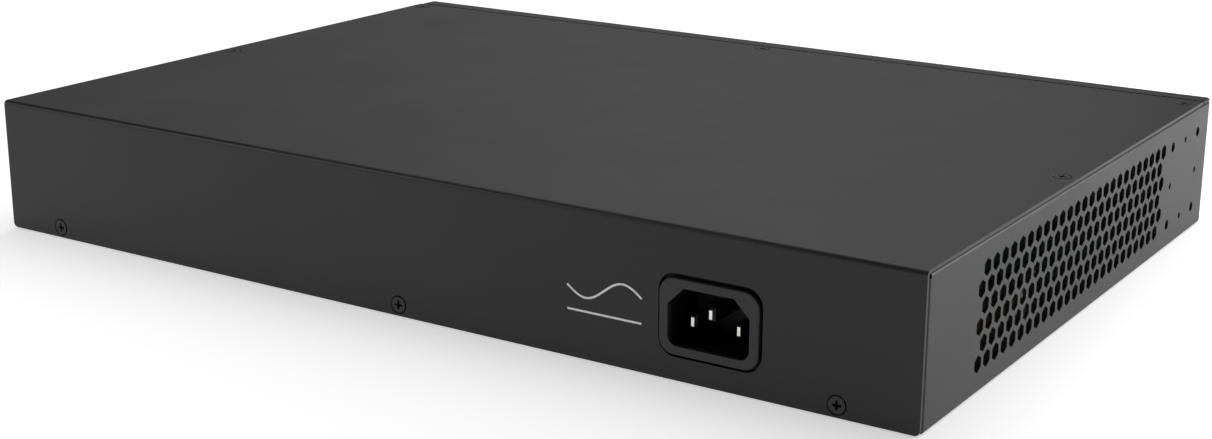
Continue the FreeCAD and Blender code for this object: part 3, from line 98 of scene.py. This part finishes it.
class Finish:
    """A procedural material in an object's own coordinates, in metres."""

    def __init__(self, name, rough, metallic=0.0, specular=0.5):
        self.material = bpy.data.materials.new(name)
        self.material.use_nodes = True
        self.tree = self.material.node_tree
        self.shader = self.tree.nodes["Principled BSDF"]
        self.shader.inputs["Roughness"].default_value = rough
        self.shader.inputs["Metallic"].default_value = metallic
        self.shader.inputs["Specular IOR Level"].default_value = specular
        self.place = self.tree.nodes.new("ShaderNodeTexCoord").outputs["Object"]

    def link(self, source, target):
        self.tree.links.new(source, target)

    def stretched(self, scale):
        """The object's coordinates times a scale along each axis."""
        mapping = self.tree.nodes.new("ShaderNodeMapping")
        mapping.inputs["Scale"].default_value = scale
        self.link(self.place, mapping.inputs["Vector"])
        return mapping.outputs["Vector"]

    def noise(self, size, detail=3.0, place=None):
        """Soft noise from 0 to 1 whose features are about one size across."""
        node = self.tree.nodes.new("ShaderNodeTexNoise")
        node.inputs["Scale"].default_value = 1.0 / size
        node.inputs["Detail"].default_value = detail
        self.link(place or self.place, node.inputs["Vector"])
        return node.outputs["Fac"]

    def spread(self, value, low, high, start=0.3, end=0.7):
        """A number that goes from low to high as the value goes from start to end."""
        node = self.tree.nodes.new("ShaderNodeMapRange")
        node.inputs["From Min"].default_value = start
        node.inputs["From Max"].default_value = end
        node.inputs["To Min"].default_value = low
        node.inputs["To Max"].default_value = high
        self.link(value, node.inputs["Value"])
        return node.outputs["Result"]

    def ramp(self, value, low, high, start=0.3, end=0.7):
        """A colour that goes from low to high as the value goes from start to end."""
        node = self.tree.nodes.new("ShaderNodeValToRGB")
        first, last = node.color_ramp.elements
        first.position, last.position = start, end
        first.color, last.color = (*low, 1.0), (*high, 1.0)
        self.link(value, node.inputs["Fac"])
        return node.outputs["Color"]

    def tint(self, value, colour, dark, light, start=0.3, end=0.7):
        """The colour times a factor that goes from dark to light."""
        return self.ramp(value, shade(colour, dark), shade(colour, light), start, end)

    def multiply(self, first, second):
        node = self.tree.nodes.new("ShaderNodeMix")
        node.data_type = "RGBA"
        node.blend_type = "MULTIPLY"
        node.inputs["Factor"].default_value = 1.0
        self.link(first, node.inputs["A"])
        self.link(second, node.inputs["B"])
        return node.outputs["Result"]

    def along_y(self, vector):
        split = self.tree.nodes.new("ShaderNodeSeparateXYZ")
        self.link(vector, split.inputs["Vector"])
        return split.outputs["Y"]

    def depth_from(self, face_y, reach):
        """From 0 at a plane across Y to 1 at a reach in front of it, towards -Y."""
        return self.spread(self.along_y(self.place), 0.0, 1.0, face_y, face_y - reach)

    def facing_rear(self, turned_away=0.7, square_on=0.95):
        """1 on surfaces that face +Y squarely and 0 on those that turn well away."""
        normal = self.tree.nodes.new("ShaderNodeTexCoord").outputs["Normal"]
        return self.spread(self.along_y(normal), 0.0, 1.0, turned_away, square_on)

    def colour(self, socket):
        self.link(socket, self.shader.inputs["Base Color"])

    def roughness(self, value, low, high):
        self.link(self.spread(value, low, high), self.shader.inputs["Roughness"])

    def bump(self, *layers):
        """Stack bump layers, each a height value from 0 to 1 and its depth in metres."""
        normal = None
        for height, depth in layers:
            node = self.tree.nodes.new("ShaderNodeBump")
            node.inputs["Distance"].default_value = depth
            self.link(height, node.inputs["Height"])
            if normal is not None:
                self.link(normal, node.inputs["Normal"])
            normal = node.outputs["Normal"]
        self.link(normal, self.shader.inputs["Normal"])


# ---- Kinds of finish -----------------------------------------------------------------------------
def powder_coat(name, colour):
    """Fine textured paint: faint cloudiness, tiny light and dark grains and a pebbled surface."""
    finish = Finish(name, rough=0.45, specular=0.36)
    cloud = finish.noise(size=45 * MM, detail=2.0)
    grain = finish.noise(size=0.35 * MM)
    base = finish.tint(cloud, colour, dark=0.94, light=1.06)
    grains = finish.ramp(grain, grey(0.8), (1.22, 1.22, 1.23), end=0.72)
    finish.colour(finish.multiply(base, grains))
    finish.roughness(cloud, 0.42, 0.48)
    pebble = finish.noise(size=0.6 * MM)
    ripple = finish.noise(size=6 * MM, detail=1.0)
    finish.bump((ripple, 0.01 * MM), (pebble, 0.02 * MM))
    return finish.material


def plating(name, colour, rough, metallic=1.0):
    """Plated or ground metal with faint wandering dullness and handling marks."""
    finish = Finish(name, rough, metallic)
    cloud = finish.noise(size=4 * MM, detail=4.0)
    finish.colour(finish.tint(cloud, colour, dark=0.86, light=1.05))
    finish.roughness(cloud, rough - 0.07, rough + 0.1)
    finish.bump((finish.noise(size=0.9 * MM), 0.01 * MM))
    return finish.material


def brushed(name, colour, rough, along):
    """Sheet metal with rolling lines along one axis: 0 for X, 1 for Y, 2 for Z."""
    finish = Finish(name, rough, metallic=1.0)
    scale = [1.0, 1.0, 1.0]
    scale[along] = 0.03
    lines = finish.noise(size=0.4 * MM, detail=4.0, place=finish.stretched(scale))
    cloud = finish.noise(size=20 * MM, detail=2.0)
    tone = finish.tint(lines, colour, dark=0.84, light=1.08)
    smoke = finish.ramp(cloud, grey(0.9), grey(1.0))
    finish.colour(finish.multiply(tone, smoke))
    finish.roughness(lines, rough - 0.06, rough + 0.1)
    finish.bump((lines, 0.01 * MM))
    return finish.material


def moulded(name, colour, rough, grain=0.7 * MM, depth=0.02 * MM):
    """Moulded plastic with a fine spark-eroded texture and faint flow marks."""
    finish = Finish(name, rough, specular=0.45)
    flow = finish.noise(size=12 * MM, detail=2.0, place=finish.stretched((1.0, 1.0, 0.4)))
    texture = finish.noise(size=grain)
    finish.colour(finish.tint(flow, colour, dark=0.9, light=1.12))
    finish.roughness(texture, rough - 0.06, rough + 0.06)
    finish.bump((texture, depth))
    return finish.material


def socket_plastic_painted_shade(name, colour, rough):
    """Moulded plastic with painted shade that darkens the socket walls deeper behind the face."""
    finish = Finish(name, rough, specular=0.3)
    flow = finish.noise(size=12 * MM, detail=2.0)
    texture = finish.noise(size=0.7 * MM)
    depth = finish.depth_from(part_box("inlet_body")[1].y - SOCKET_SHADE_START, SOCKET_SHADE_FADE)
    face = finish.tint(flow, colour, dark=0.92, light=1.1)
    # Painted shade: the colour falls to a small share of itself deeper in the socket, in place of
    # the shade there.
    tone = finish.ramp(depth, grey(1.0), grey(0.12), start=0.0, end=1.0)
    finish.colour(finish.multiply(face, tone))
    finish.roughness(texture, rough - 0.06, rough + 0.06)
    finish.bump((texture, 0.02 * MM))
    return finish.material


def contact_plating(name, colour, side_shade):
    """Plated contact: full colour on its end face, with painted shade on its sides and taper in
    place of the dark socket they face and mirror.
    """
    finish = Finish(name, rough=0.35, metallic=1.0)
    cloud = finish.noise(size=2 * MM)
    bright = finish.tint(cloud, colour, dark=0.9, light=1.0)
    # Painted shade: faces turned away from +Y are darkened towards the side shade colour.
    tone = finish.ramp(finish.facing_rear(), side_shade, grey(1.0), start=0.0, end=1.0)
    finish.colour(finish.multiply(bright, tone))
    finish.roughness(cloud, 0.28, 0.45)
    finish.bump((finish.noise(size=0.9 * MM), 0.01 * MM))
    return finish.material


def circuit_board(name, colour, light):
    """Solder resist over a dim pattern of copper tracks."""
    finish = Finish(name, rough=0.38)
    cells = finish.tree.nodes.new("ShaderNodeTexVoronoi")
    cells.distance = "MANHATTAN"
    cells.feature = "DISTANCE_TO_EDGE"
    cells.inputs["Scale"].default_value = TRACK_CELLS
    finish.link(finish.place, cells.inputs["Vector"])
    tracks = cells.outputs["Distance"]
    base = finish.ramp(tracks, light, colour, start=0.02, end=0.09)
    cloud = finish.ramp(finish.noise(size=30 * MM, detail=2.0), grey(0.88), grey(1.0))
    finish.colour(finish.multiply(base, cloud))
    finish.roughness(finish.noise(size=2 * MM), 0.32, 0.46)
    finish.bump((tracks, 0.02 * MM))
    return finish.material


def light_guide(name, colour):
    """Milky clear plastic."""
    finish = Finish(name, rough=0.22)
    finish.shader.inputs["Transmission Weight"].default_value = 0.35
    haze = finish.noise(size=1.5 * MM, detail=2.0)
    finish.colour(finish.tint(haze, colour, dark=0.9, light=1.05))
    finish.roughness(haze, 0.16, 0.32)
    finish.bump((haze, 0.01 * MM))
    return finish.material


def glass_tube(name, colour):
    """Clear glass with the faintest haze."""
    finish = Finish(name, rough=0.05)
    finish.shader.inputs["Transmission Weight"].default_value = 0.85
    haze = finish.noise(size=3 * MM, detail=2.0)
    finish.colour(finish.tint(haze, colour, dark=0.94, light=1.0))
    finish.roughness(haze, 0.03, 0.09)
    return finish.material


def winding(name, colour):
    """Lacquered wire, layered tape or a cable's sheath, with fine rings."""
    finish = Finish(name, rough=0.34)
    rings = finish.noise(size=0.5 * MM, detail=2.0, place=finish.stretched((0.2, 0.2, 1.0)))
    finish.colour(finish.tint(rings, colour, dark=0.75, light=1.12))
    finish.roughness(rings, 0.28, 0.42)
    finish.bump((rings, 0.03 * MM))
    return finish.material


def printing_ink(name, colour):
    """Screen-printed ink: thin in places over the paint's pebbles."""
    finish = Finish(name, rough=0.6)
    cover = finish.noise(size=0.7 * MM)
    finish.colour(finish.tint(cover, colour, dark=0.8, light=1.0, end=0.55))
    finish.roughness(cover, 0.52, 0.66)
    finish.bump((cover, 0.03 * MM))
    return finish.material


def floor_paint(name):
    """Matt white that glows a little, so the ground stays pale round the case."""
    finish = Finish(name, rough=0.7)
    cloud = finish.noise(size=0.6, detail=1.0)
    finish.colour(finish.ramp(cloud, grey(0.86), grey(0.9)))
    finish.shader.inputs["Emission Color"].default_value = (1.0, 1.0, 1.0, 1.0)
    finish.shader.inputs["Emission Strength"].default_value = FLOOR_GLOW
    return finish.material


# ---- The finish of each material slot ------------------------------------------------------------
FINISHES = {
    "case_paint": powder_coat("case_paint", (0.012, 0.012, 0.0122)),
    "screw_black": plating("screw_black", (0.045, 0.045, 0.046), 0.4, metallic=0.8),
    "inlet_plastic": socket_plastic_painted_shade("inlet_plastic", (0.036, 0.036, 0.0365), 0.5),
    # The last grey is the painted shade on the pins' sides and taper.
    "pin_plate": contact_plating("pin_plate", (0.86, 0.86, 0.83), grey(0.12)),
    # The inlet bracket is near-black, darker than the case paint: partly its black finish, partly
    # painted shade for the deep gap round the inlet.
    "bracket_black": powder_coat("bracket_black", grey(0.006)),
    "zinc_plate": plating("zinc_plate", (0.5, 0.51, 0.53), 0.34),
    "shield_steel": brushed("shield_steel", (0.62, 0.62, 0.6), 0.34, along=0),
    "shaft_steel": brushed("shaft_steel", grey(0.6), 0.25, along=0),
    "board_green": circuit_board("board_green", (0.012, 0.085, 0.038), (0.03, 0.16, 0.07)),
    "board_tan": circuit_board("board_tan", (0.15, 0.11, 0.06), (0.2, 0.15, 0.08)),
    "jack_plastic": moulded("jack_plastic", (0.02, 0.02, 0.022), 0.45),
    "contact_gold": plating("contact_gold", (0.85, 0.62, 0.26), 0.24),
    "light_plastic": light_guide("light_plastic", (0.75, 0.78, 0.72)),
    "chip_light": light_guide("chip_light", (0.85, 0.83, 0.7)),
    "button_plastic": moulded("button_plastic", (0.02, 0.02, 0.022), 0.4),
    "fan_plastic": moulded("fan_plastic", (0.022, 0.022, 0.024), 0.4),
    "coil_copper": winding("coil_copper", (0.55, 0.2, 0.07)),
    "stator_steel": brushed("stator_steel", (0.45, 0.45, 0.46), 0.4, along=0),
    "ferrite": moulded("ferrite", (0.06, 0.06, 0.065), 0.6, grain=0.4 * MM, depth=0.04 * MM),
    "tape_yellow": winding("tape_yellow", (0.7, 0.5, 0.08)),
    "heatsink_aluminium": brushed("heatsink_aluminium", (0.72, 0.73, 0.74), 0.36, along=2),
    "heatsink_black": brushed("heatsink_black", (0.06, 0.06, 0.065), 0.42, along=1),
    "chip_black": moulded("chip_black", (0.025, 0.025, 0.028), 0.55, grain=0.3 * MM),
    "can_sleeve": moulded("can_sleeve", (0.03, 0.04, 0.09), 0.25),
    "can_aluminium": brushed("can_aluminium", (0.72, 0.73, 0.74), 0.3, along=2),
    "header_white": moulded("header_white", (0.75, 0.73, 0.66), 0.45),
    "terminal_sleeve": moulded("terminal_sleeve", (0.25, 0.28, 0.32), 0.35),
    "sheet_clear": moulded("sheet_clear", grey(0.12), 0.2),
    "fuse_glass": glass_tube("fuse_glass", (0.8, 0.84, 0.84)),
    "wire_brown": moulded("wire_brown", (0.16, 0.07, 0.03), 0.4),
    "wire_blue": moulded("wire_blue", (0.03, 0.1, 0.4), 0.4),
    "wire_green": moulded("wire_green", (0.1, 0.4, 0.06), 0.4),
    "cable_black": winding("cable_black", grey(0.025)),
}
INK = printing_ink("ink_grey", grey(0.8))


def dress_cad_nodes():
    for part in frame["record"]["subparts"]:
        for slot in NODES[part["node"]].material_slots:
            slot.material = FINISHES[part["material_slot"]]


# ---- Meshes, and the printed marking beside the inlet --------------------------------------------
def new_mesh(name, points, faces, material):
    mesh = bpy.data.meshes.new(name)
    mesh.from_pydata(points, [], faces)
    mesh.update()
    mesh.materials.append(material)
    piece = bpy.data.objects.new(name, mesh)
    bpy.context.scene.collection.objects.link(piece)
    return piece


def add_mesh(name, points, faces, material, body):
    piece = new_mesh(name, points, faces, material)
    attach(piece, body)


def stroke(line, back, front, points, faces):
    """Add a flat printed line, given as x and z, to a mesh's points and faces.

    Each point of the line becomes four corners: left back, left front, right back, right front.
    """
    count = len(line)
    first = len(points)
    for i, (x, z) in enumerate(line):
        before = line[max(i - 1, 0)]
        after = line[min(i + 1, count - 1)]
        along = Vector((after[0] - before[0], after[1] - before[1])).normalized()
        across = Vector((-along.y, along.x)) * STROKE / 2
        for side in (1, -1):
            for depth in (back, front):
                points.append((x + side * across.x, depth, z + side * across.y))
    for a in range(first, first + 4 * (count - 1), 4):
        b = a + 4
        faces.append((a, a + 1, b + 1, b))
        faces.append((a + 3, a + 2, b + 2, b + 3))
        faces.append((a + 1, a + 3, b + 3, b + 1))
        faces.append((a + 2, a, b, b + 2))
    for a in (first, first + 4 * (count - 1)):
        faces.append((a, a + 2, a + 3, a + 1))


def sine_wave(centre_x, centre_z):
    """One period of a sine wave that rises first along +X, as x and z."""
    wave = []
    for step in range(WAVE_STEPS + 1):
        turn = step / WAVE_STEPS
        wave.append((centre_x + (turn - 0.5) * WAVE_WIDTH,
                     centre_z + WAVE_RISE * math.sin(2 * math.pi * turn)))
    return wave


def mains_marking():
    """A sine wave over a plain rule, in grey ink. From behind, the wave dips, then rises."""
    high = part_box("cover")[1]
    inlet_low, inlet_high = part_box("inlet_body")
    back = high.y + INK_BACK
    front = high.y + INK_FRONT
    centre_x = inlet_high.x + MARKING_FROM_INLET
    centre_z = (inlet_low.z + inlet_high.z) / 2 + MARKING_ABOVE_INLET_CENTRE
    rule = [(centre_x + share * WAVE_WIDTH, centre_z - RULE_DROP) for share in (-0.5, 0.0, 0.5)]
    points, faces = [], []
    stroke(sine_wave(centre_x, centre_z), back, front, points, faces)
    stroke(rule, back, front, points, faces)
    add_mesh("mains_marking", points, faces, INK, "case")


# ---- Camera, lamps, room and floor ---------------------------------------------------------------
def view_axes():
    """Unit vectors to the picture's right, to its top and from the object towards the camera."""
    level = math.cos(ELEVATION)
    back = Vector((math.sin(AZIMUTH) * level, -math.cos(AZIMUTH) * level, math.sin(ELEVATION)))
    right = Vector((0, 0, 1)).cross(back).normalized()
    up = back.cross(right)
    rolled_right = right * math.cos(ROLL) + up * math.sin(ROLL)
    rolled_up = up * math.cos(ROLL) - right * math.sin(ROLL)
    return rolled_right, rolled_up, back


def set_camera():
    right, up, back = view_axes()
    data = bpy.data.cameras.new("camera")
    data.sensor_fit = "HORIZONTAL"
    data.sensor_width = SENSOR_WIDTH
    data.lens = LENS
    camera = bpy.data.objects.new("camera", data)
    turn = Matrix((right, up, back)).transposed().to_4x4()
    turn.translation = back * DISTANCE - right * SIDE_STEP - up * RISE_STEP
    camera.matrix_world = turn
    bpy.context.scene.collection.objects.link(camera)
    bpy.context.scene.camera = camera


def area_light(name, spot, target, size, watts):
    data = bpy.data.lights.new(name, "AREA")
    data.shape = "RECTANGLE"
    data.size, data.size_y = size
    data.energy = watts
    lamp = bpy.data.objects.new(name, data)
    lamp.location = spot
    lamp.rotation_euler = (Vector(target) - Vector(spot)).to_track_quat("-Z", "Y").to_euler()
    bpy.context.scene.collection.objects.link(lamp)


def set_lights():
    for name, (spot, target, size, watts) in LAMPS.items():
        area_light(name, spot, target, size, watts)


def set_room():
    world = bpy.data.worlds.new("room")
    world.use_nodes = True
    background = world.node_tree.nodes["Background"]
    background.inputs["Color"].default_value = (1.0, 1.0, 1.0, 1.0)
    background.inputs["Strength"].default_value = ROOM_GLOW
    bpy.context.scene.world = world
    bpy.context.scene.view_settings.view_transform = "Standard"


def set_floor():
    corners = [(-FLOOR_REACH, -FLOOR_REACH), (FLOOR_REACH, -FLOOR_REACH),
               (FLOOR_REACH, FLOOR_REACH), (-FLOOR_REACH, FLOOR_REACH)]
    points = [(x, y, -FLOOR_DROP) for x, y in corners]
    floor = new_mesh("floor", points, [(0, 1, 2, 3)], floor_paint("floor_white"))


# ---- The scene -----------------------------------------------------------------------------------
set_camera()
dress_cad_nodes()
mains_marking()
set_lights()
set_room()
set_floor()
